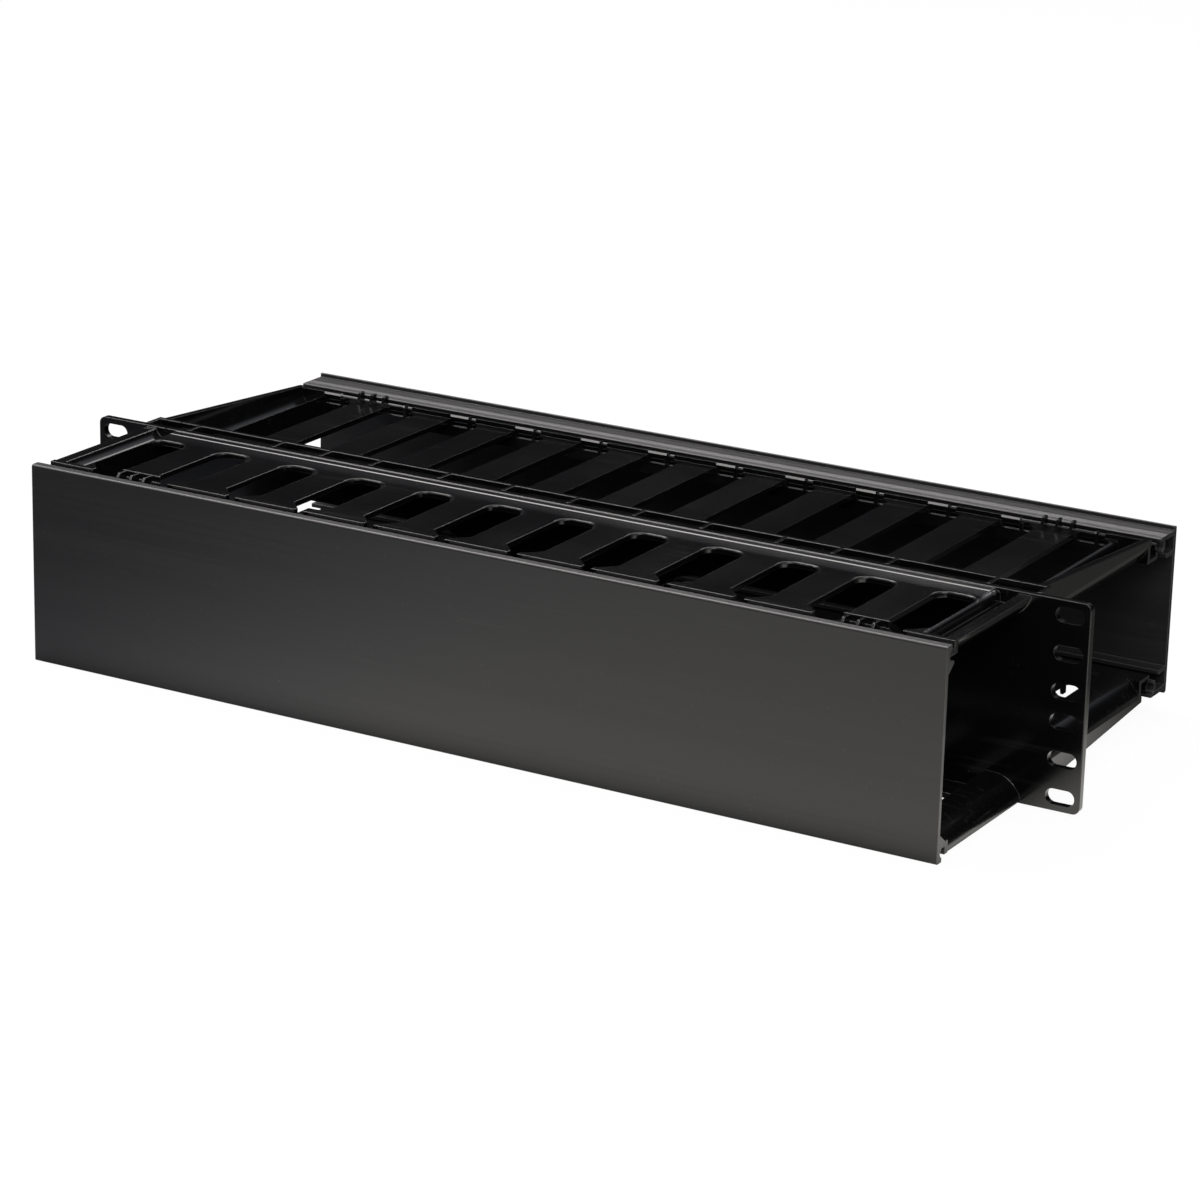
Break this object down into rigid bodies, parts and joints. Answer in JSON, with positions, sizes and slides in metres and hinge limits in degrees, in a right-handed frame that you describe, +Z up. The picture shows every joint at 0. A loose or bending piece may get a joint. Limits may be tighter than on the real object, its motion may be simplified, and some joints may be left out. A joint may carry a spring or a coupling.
{
  "type": "horizontal cable manager",
  "caption": "Rack-mounted horizontal cable manager: a slotted finger channel in front of the panel and a deeper tapering one behind it, each closed by a hinged clip-on cover.",
  "frame": {"origin": "centre of the rack bolt pattern, on the rear face of the ears, which is the face that lies against the rack rails", "axes": "+Z up, +X to the right seen from the front, -Y towards the front, where the front cover is"},
  "size_m": [0.4826, 0.2225, 0.0886],
  "materials": {
    "frame_plastic": "moulded black plastic with a light satin sheen",
    "cover_plastic": "extruded black plastic, satin, with faint lengthwise draw lines"
  },
  "bodies": {
    "frame": {"front_frame": "frame_plastic", "rear_frame": "frame_plastic"},
    "front_cover": {"front_cover": "cover_plastic"},
    "rear_cover": {"rear_cover": "cover_plastic"}
  },
  "joints": [
    {"name": "front_cover_hinge", "type": "hinge", "parent": "frame", "child": "front_cover", "pos_m": [0, -0.0778, 0.0399], "axis": [-1, 0, 0], "range_deg": [0, 90]},
    {"name": "rear_cover_hinge", "type": "hinge", "parent": "frame", "child": "rear_cover", "pos_m": [0, 0.1238, 0.0316], "axis": [1, 0, 0], "range_deg": [0, 90]}
  ]
}
